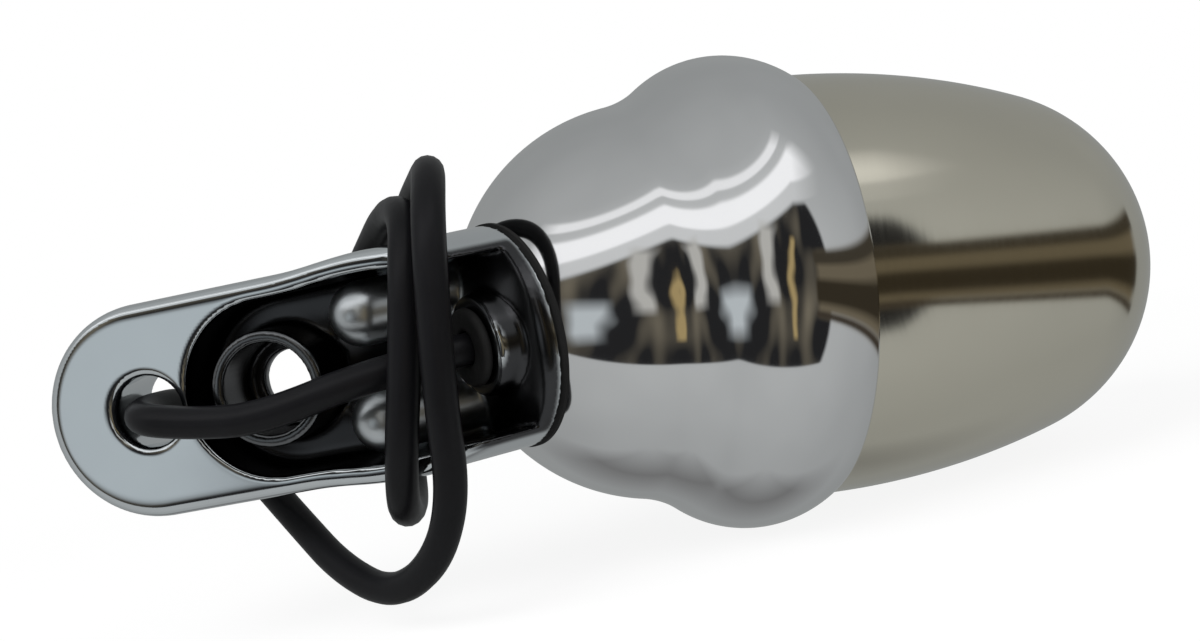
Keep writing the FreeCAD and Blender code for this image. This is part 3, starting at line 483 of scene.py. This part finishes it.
def armShape():
    tree, keys, size = newTree("arm", arm)
    spot = Wire.add(tree, "GeometryNodeInputPosition")
    x, y, z = (spot.part(axis) * 1000.0 for axis in range(3))

    def hypot(*legs):
        square = legs[0] * legs[0]
        for leg in legs[1:]:
            square = square + leg * leg
        return square.math("SQRT")

    def join(first, second, softness):
        return first.math("SMOOTH_MIN", second, softness)

    def keep(first, second, softness):
        return first.math("SMOOTH_MAX", second, softness)

    def carve(first, tool, softness):
        return first.math("SMOOTH_MAX", -tool, softness)

    toCentreX = domeCentre.x - x
    toCentreY = domeCentre.y - y
    back = toCentreX * neckAxis.x + toCentreY * neckAxis.y  # distance from the dome's centre down the neck
    aside = toCentreX * neckAxis.y - toCentreY * neckAxis.x
    offAxis = hypot(aside, z)
    reach = hypot(toCentreX, toCentreY, z)
    rim = size["seatRadius"] * size["seatRadius"] - size["flangeRadius"] * size["flangeRadius"]
    rim = rim.math("SQRT")
    taper = (back - rim) / size["neckLength"]
    neckRadius = size["flangeRadius"] - taper * (size["flangeRadius"] - size["rootRadius"])
    webBack = size["seatRadius"] + size["web"]

    padSide = hypot((x - size["padPlace"]).math("MINIMUM", 0.0), z) - size["halfWidth"]
    bar = keep(keep(padSide, y - size["depth"], size["backRound"]), x - size["baseEnd"], size["edgeRound"])
    outside = join(bar, offAxis - neckRadius, size["blendRound"])
    outside = keep(outside, -y, size["rimRound"])
    inWidth = size["halfWidth"] - size["wall"]
    troughSide = hypot((x - (size["troughLeft"] + inWidth)).math("MINIMUM", 0.0), z) - inWidth
    floorTop = size["depth"] - size["floor"]
    trough = keep(troughSide, y - floorTop, size["blendRound"])
    trough = keep(trough, x - size["baseEnd"], size["edgeRound"])
    slot = keep(z.math("ABSOLUTE") - inWidth, aside, size["edgeRound"])
    core = join(offAxis - (neckRadius - size["wall"]), slot, size["edgeRound"])
    core = keep(core, webBack - reach, size["edgeRound"])
    hollow = join(trough, core, size["blendRound"])
    body = carve(outside, hollow, size["innerRound"])

    boltOff = hypot(x, z)
    boltBoss = keep(boltOff - size["bossRadius"], -y, size["innerRound"])
    boltBoss = keep(boltBoss, y - size["depth"] * size["bossShare"], size["threadRound"])
    offCord = hypot(aside + size["cordShift"], z)
    collarFace = webBack + size["collarLength"]
    collar = keep(offCord - size["collarRadius"], back - collarFace, size["innerRound"])
    screwSide = z.math("ABSOLUTE") - size["screwOffset"]
    pastNose = (back - (webBack + size["bossLength"])).math("MAXIMUM", 0.0)
    screwAside = aside - size["screwInset"]
    screwBoss = hypot(screwAside, screwSide, pastNose) - size["screwBoss"]
    for boss in (boltBoss, collar, screwBoss):
        body = join(body, boss, size["innerRound"])
    body = keep(body, -y, size["fineRound"])

    padHole = hypot(x - size["padPlace"], z) - size["padHole"]
    nutSocket = keep(boltOff - size["counterbore"], y - floorTop, size["fineRound"])
    cordWay = keep(offCord - size["cordHole"], back - (collarFace + size["cordPast"]), size["fineRound"])
    thread = hypot(screwAside, screwSide) - size["screwHole"]
    thread = keep(thread, back - (webBack + size["threadDepth"]), size["threadRound"])
    body = carve(body, padHole, size["holeRound"])
    body = carve(body, nutSocket, size["edgeRound"])
    body = carve(body, boltOff - size["boltBore"], size["edgeRound"])
    body = carve(body, reach - size["seatRadius"], size["edgeRound"])
    body = carve(body, cordWay, size["edgeRound"])
    body = carve(body, thread, size["threadRound"])

    low, high = armGrid["low"], armGrid["high"]
    counts = [int((high[axis] - low[axis]) / armGrid["voxel"]) for axis in range(3)]
    cloud = Wire.add(tree, "GeometryNodeVolumeCube", None, {
        "Density": -body, "Background": -1.0, "Min": [mm * value for value in low],
        "Max": [mm * value for value in high], "Resolution X": counts[0], "Resolution Y": counts[1],
        "Resolution Z": counts[2]})
    skin = Wire.add(tree, "GeometryNodeVolumeToMesh", {"resolution_mode": "GRID"},
                    {"Volume": cloud, "Threshold": 0.0, "Adaptivity": 0.0})
    # painted shade mask: darkens the colour inside the hollow deeper than the rim and on the bolt boss,
    # but not on the screw noses; the satin mask on the noses only raises roughness
    inHollow = ((armMarks["hollow"] - hollow) / armMarks["soft"]).clamp()
    below = ((y - armMarks["mouth"]) / armMarks["soft"]).clamp()
    onBolt = ((size["bossRadius"] + armMarks["bolt"] - boltOff) / armMarks["boltSoft"]).clamp()
    onNose = ((armMarks["nose"] - screwBoss) / armMarks["soft"]).clamp()
    dull = (inHollow * below).math("MAXIMUM", onBolt * armMarks["boltShare"]) * (1.0 - onNose)
    for name, mark in ((castLook["paintedShadeMark"], dull), (castLook["satinMark"], onNose * inHollow)):
        skin = Wire.add(tree, "GeometryNodeStoreNamedAttribute", {"data_type": "FLOAT", "domain": "POINT"},
                        {"Geometry": skin, "Name": name, "Value": mark})
    closeTree(tree, skin, finishes["cast_chrome"])
    return bakeTree("arm", tree, keys, arm)


armPiece = armShape()
if signedVolume(armPiece.data) < 0:
    armPiece.data.flip_normals()
dress(armPiece, "cast_chrome", "mount_arm", "screw_posts")
print("arm cast:", len(armPiece.data.polygons), "faces")

# Grommet round the lead, with a rounded lip on the collar
grommet = {"start": 31.7, "bore": 2.45, "lipRound": 0.7}
grommetPlan = {"sleeve": 4.55, "face": 35.2, "lip": 5.8, "end": 36.8}
sleeveStart, bore, lipRound = (grommet[key] for key in ("start", "bore", "lipRound"))
sleeve, face, lip, lipEnd = (grommetPlan[key] for key in ("sleeve", "face", "lip", "end"))
grommetRuns = [
    straight("sleeveEnd", grommet, (sleeveStart, bore), (sleeveStart, sleeve)),
    straight("sleeve", grommet, (sleeveStart, sleeve), (face, sleeve)),
    straight("lipBack", grommet, (face, sleeve), (face, lip - lipRound)),
    {"radius": "lipRound", "from": 90.0, "to": 0.0, "steps": 6},
    straight("lipWidth", grommet, (face + lipRound, lip), (lipEnd - lipRound, lip)),
    {"radius": "lipRound", "from": 0.0, "to": -90.0, "steps": 6},
    straight("lipFront", grommet, (lipEnd, lip - lipRound), (lipEnd, bore + lipRound)),
    {"radius": "lipRound", "from": -90.0, "to": -180.0, "steps": 6},
    straight("way", grommet, (lipEnd - lipRound, bore), (sleeveStart, bore)),
]
grommetPiece = turnedPiece("grommet", grommet, ("start", "bore"), grommetRuns,
                           domeCentre + openSide * cordShift, -neckAxis, finishes["rubber"], 64)
dress(grommetPiece, "rubber", "cord_grommet")

# Lead: out of the grommet, along the trough, through the pad hole, then wound twice round the arm
lead = {"radius": 2.4, "length": 0.3754, "exit": (29.215, 4.34, 0.0)}
leadRoute = [
    (38.921, 12.988, 0.0), (19.21, -4.574, 0.0), (1.0, -6.2, -3.6), (-9.5, -5.8, -2.4),
    (-18.0, -5.4, -0.4),
    (-20.3, 3.0, 0.2), (-19.4, 13.0, -0.3), (-18.5, 20.0, -4.5), (-13.5, 20.0, -14.0), (-5.5, 14.5, -22.5),
    (2.0, 8.5, -29.5), (11.0, 3.0, -33.5), (20.3, -2.5, -29.0), (26.2, -6.0, -19.5), (28.2, -9.3, -6.0),
    (30.2, -9.8, 8.0), (31.3, -7.6, 19.0), (30.6, 0.0, 25.6), (27.8, 9.0, 26.2), (20.0, 21.0, 21.5),
    (13.0, 28.0, 10.5), (10.5, 28.5, -4.0), (11.5, 22.0, -16.0), (14.5, 11.0, -22.0), (16.3, 0.5, -21.6),
    (19.6, -5.8, -13.5), (23.6, -6.8, 0.5), (25.8, -5.4, 12.5), (26.0, 0.0, 20.6), (20.5, 9.8, 21.8),
    (12.5, 19.5, 16.0), (6.5, 22.0, 9.5),
]
leadCurve = bpy.data.curves.new("lead", "CURVE")
leadCurve.dimensions = "3D"
leadCurve.bevel_depth = lead["radius"] * mm
leadCurve.bevel_resolution = 6
leadCurve.resolution_u = 12
leadCurve.use_fill_caps = True
leadSpline = leadCurve.splines.new("NURBS")
leadSpline.points.add(len(leadRoute) - 1)
for point, place in zip(leadSpline.points, leadRoute):
    point.co = (*(coordinate * mm for coordinate in place), 1.0)
leadSpline.order_u = 3
leadSpline.use_endpoint_u = True
leadCurve.materials.append(finishes["lead_sheath"])
leadPiece = bpy.data.objects.new("lead", leadCurve)
scene.collection.objects.link(leadPiece)
dress(leadPiece, "lead_sheath", "lead_cord")
print("lead laid")

# Floor, surroundings and lamps
studio = {"floor": 0.90, "floorGlow": 0.88, "fadeFrom": 0.12, "fadeOver": 0.16, "floorSize": 3.0,
          "middle": (0.05, 0.03), "aim": (0.04, 0.02, 0.0)}


def whiteFloor():
    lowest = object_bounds()[0][2]
    half = studio["floorSize"] / 2.0
    floorMesh = bpy.data.meshes.new("floor")
    corners = [(-half, -half, lowest), (half, -half, lowest), (half, half, lowest), (-half, half, lowest)]
    floorMesh.from_pydata(corners, [], [(0, 1, 2, 3)])
    material = newMaterial("paleFloor")
    tree = material.node_tree
    matt = Wire.add(tree, "ShaderNodeBsdfDiffuse", None, {"Color": (*[studio["floor"]] * 3, 1.0)})
    glow = Wire.add(tree, "ShaderNodeEmission", None, {"Strength": 1.0})
    seen = Wire.add(tree, "ShaderNodeLightPath")
    glossy = Wire(tree, seen.socket.node.outputs["Is Glossy Ray"])
    through = Wire(tree, seen.socket.node.outputs["Is Transmission Ray"])
    place = Wire.add(tree, "ShaderNodeTexCoord", None, None, 3)
    away = Wire.add(tree, "ShaderNodeVectorMath", {"operation": "DISTANCE"},
                    {0: place, 1: (*studio["middle"], lowest)}, 1)
    fade = ((away - studio["fadeFrom"]) / studio["fadeOver"]).clamp()
    lit = studio["floorGlow"] + fade * (1.0 - studio["floorGlow"])
    share = (seen + glossy + through).math("MINIMUM", 1.0) * lit
    mixed = Wire.add(tree, "ShaderNodeMixShader", None, {0: share, 1: matt, 2: glow})
    Wire.add(tree, "ShaderNodeOutputMaterial", None, {"Surface": mixed})
    floorMesh.materials.append(material)
    floor = bpy.data.objects.new("floor", floorMesh)
    scene.collection.objects.link(floor)
    floor.visible_glossy = False


whiteFloor()
surround = {"back": (0.29, 0.30, 0.30), "front": (0.50, 0.51, 0.51), "dark": (0.018, 0.018, 0.019),
            "patch": (0.20, 0.175, 0.13), "patchStretch": (3.2, 1.6), "patchFrom": 0.48, "patchGain": 3.0,
            "cloudScale": 1.6, "cloudShade": 0.30, "wobbleScale": 2.6, "wobble": 22.0,
            "streak": (1.05, 1.05, 1.06)}
darkZone = {"top": 0.5, "topSlope": 0.4, "topMost": 0.63, "topSoft": 0.03, "low": 0.2, "lowSlope": 0.5,
            "lowSoft": 0.02, "front": 0.55, "frontSlope": 0.1, "frontSoft": 0.04}
bands = {  # heights above the dark zone's upper edge
    "wide": {"from": 0.10, "fromSoft": 0.03, "to": 0.29, "toSoft": 0.03, "strength": 1.0},
    "thin": {"from": 0.33, "fromSoft": 0.01, "to": 0.40, "toSoft": 0.02, "strength": 0.8},
    "haze": {"from": 0.0, "fromSoft": 0.015, "to": 0.45, "toSoft": 0.30, "strength": 0.3},
}
bandEnds = {"front": 0.15, "frontSoft": 0.2, "right": 0.66, "rightSoft": 0.3}
cards = [  # sideways and upward angles from the camera's own direction, in degrees
    {"at": (180.0, -62.0), "half": (62.0, 26.0), "soft": 26.0, "shade": (0.19, 0.19, 0.19)},
    {"at": (76.0, 3.0), "half": (42.0, 16.0), "soft": 6.0, "shade": (0.15, 0.125, 0.085)},
    {"at": (76.0, 14.0), "half": (42.0, 4.0), "soft": 2.5, "shade": (0.05, 0.042, 0.03)},
    {"at": (76.0, 0.0), "half": (42.0, 6.5), "soft": 3.0, "shade": (0.035, 0.028, 0.018)},
    {"at": (76.0, -10.0), "half": (42.0, 2.0), "soft": 1.5, "shade": (0.05, 0.04, 0.03)},
    {"at": (-6.0, 10.0), "half": (9.0, 20.0), "soft": 6.0, "shade": (0.50, 0.49, 0.46)},
    {"at": (15.0, 0.0), "half": (4.0, 24.0), "soft": 3.0, "shade": (0.40, 0.30, 0.14)},
    {"at": (-39.0, -12.0), "half": (15.0, 13.0), "soft": 8.0, "shade": (0.52, 0.56, 0.58)},
]


def whiteWorld():
    world = bpy.data.worlds.new("surroundings")
    world.use_nodes = True
    scene.world = world
    tree = world.node_tree
    tree.nodes.clear()
    way = Wire.add(tree, "ShaderNodeTexCoord", None, None, 0)
    x, y, z = (way.part(axis) for axis in range(3))
    toRight, toUp, toBack = (x * line.x + y * line.y + z * line.z for line in (camRight, camUp, camBack))
    sideways = toRight.math("ARCTAN2", toBack) * math.degrees(1.0)
    wobble = (noise(tree, way, surround["wobbleScale"], 1.0) - 0.5) * surround["wobble"]
    sideways = sideways + wobble * toBack.clamp()
    upward = toUp.math("MINIMUM", 1.0).math("MAXIMUM", -1.0).math("ARCSINE") * math.degrees(1.0)
    cloud = (noise(tree, way, surround["cloudScale"], 1.0) - 0.5) * surround["cloudShade"]
    shade = mixColours(tree, (toBack * 0.5 + 0.5 + cloud).clamp(), (*surround["back"], 1.0),
                       (*surround["front"], 1.0))

    edgeHeight = (darkZone["top"] + toRight * darkZone["topSlope"]).math("MINIMUM", darkZone["topMost"])
    above = toUp - edgeHeight
    lowEdge = toUp + darkZone["low"] + toBack * darkZone["lowSlope"]
    frontEdge = toBack - darkZone["front"] - toRight * darkZone["frontSlope"]
    inside = (-above / darkZone["topSoft"]).clamp() * (lowEdge / darkZone["lowSoft"]).clamp()
    inside = inside * (frontEdge / darkZone["frontSoft"]).clamp()
    stretched = Wire.add(tree, "ShaderNodeCombineXYZ", None,
                         {0: toRight * surround["patchStretch"][0], 1: toUp * surround["patchStretch"][1]})
    patches = noise(tree, stretched, 1.0, 1.0) - surround["patchFrom"]
    patched = mixColours(tree, (patches * surround["patchGain"]).clamp(), (*surround["dark"], 1.0),
                         (*surround["patch"], 1.0))
    shade = mixColours(tree, inside, shade, patched)

    def band(rule):
        begins = ((above - rule["from"]) / rule["fromSoft"]).clamp()
        ends = ((rule["to"] - above) / rule["toSoft"]).clamp()
        return begins * ends * rule["strength"]

    streaks = (band(bands["wide"]) + band(bands["thin"])).math("MAXIMUM", band(bands["haze"]))
    streaks = streaks * ((toBack - bandEnds["front"]) / bandEnds["frontSoft"]).clamp()
    streaks = streaks * ((bandEnds["right"] - toRight) / bandEnds["rightSoft"]).clamp()
    shade = mixColours(tree, streaks, shade, (*surround["streak"], 1.0))
    for card in cards:
        gap = (sideways - card["at"][0]).math("ABSOLUTE")
        gap = gap.math("MINIMUM", 360.0 - gap)
        across = ((card["half"][0] - gap) / card["soft"]).clamp()
        rise = (card["half"][1] - (upward - card["at"][1]).math("ABSOLUTE")) / card["soft"]
        shade = mixColours(tree, across * rise.clamp(), shade, (*card["shade"], 1.0))
    reflected = Wire.add(tree, "ShaderNodeBackground", None, {"Color": shade, "Strength": 1.0})
    white = Wire.add(tree, "ShaderNodeBackground", None, {"Color": (1.0, 1.0, 1.0, 1.0), "Strength": 1.0})
    seen = Wire.add(tree, "ShaderNodeLightPath")
    through = Wire(tree, seen.socket.node.outputs["Is Transmission Ray"])
    mixed = Wire.add(tree, "ShaderNodeMixShader", None,
                     {0: seen.math("MAXIMUM", through), 1: reflected, 2: white})
    Wire.add(tree, "ShaderNodeOutputWorld", None, {"Surface": mixed})


whiteWorld()
lamps = [
    {"name": "keyLamp", "place": (-0.25, -0.45, 0.55), "size": 0.5, "power": 6.0},
    {"name": "fillLamp", "place": (0.5, -0.4, 0.3), "size": 0.6, "power": 3.0},
]
for lamp in lamps:
    lampData = bpy.data.lights.new(lamp["name"], "AREA")
    lampData.energy = lamp["power"]
    lampData.size = lamp["size"]
    lampObject = bpy.data.objects.new(lamp["name"], lampData)
    lampObject.location = lamp["place"]
    aim = Vector(studio["aim"]) - Vector(lamp["place"])
    lampObject.rotation_euler = aim.to_track_quat("-Z", "Y").to_euler()
    lampObject.visible_glossy = False
    scene.collection.objects.link(lampObject)
print("studio lit")
